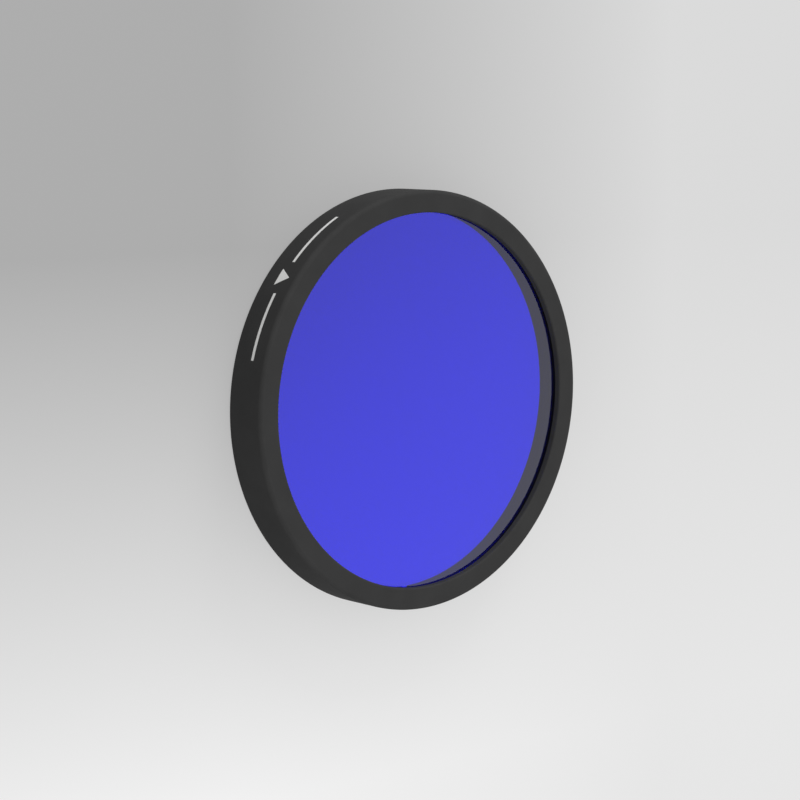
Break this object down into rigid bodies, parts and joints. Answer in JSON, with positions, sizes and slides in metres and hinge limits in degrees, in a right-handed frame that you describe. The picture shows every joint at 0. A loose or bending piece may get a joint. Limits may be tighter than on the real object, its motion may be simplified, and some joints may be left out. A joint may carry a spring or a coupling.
{
  "type": "rgb color filter",
  "caption": "Round blue colour filter glass in a matt black turned ring cell, seated on the front lip and held from behind by a threaded retaining ring.",
  "frame": {"origin": "on the optical axis, in the plane of the rear face that the filter lies on", "axes": "+Z along the optical axis, from the rear face to the front one; X and Y across the disc"},
  "size_m": [0.0508, 0.0508, 0.006],
  "materials": {
    "black_anodised": "matt black anodised, finely bead blasted",
    "blue_glass": "polished, coated on both faces",
    "black_anodised_ring": "matt black anodised, as turned"
  },
  "bodies": {
    "root": {"filter_cell": "black_anodised", "filter_glass": "blue_glass", "retaining_ring": "black_anodised_ring"}
  },
  "joints": []
}
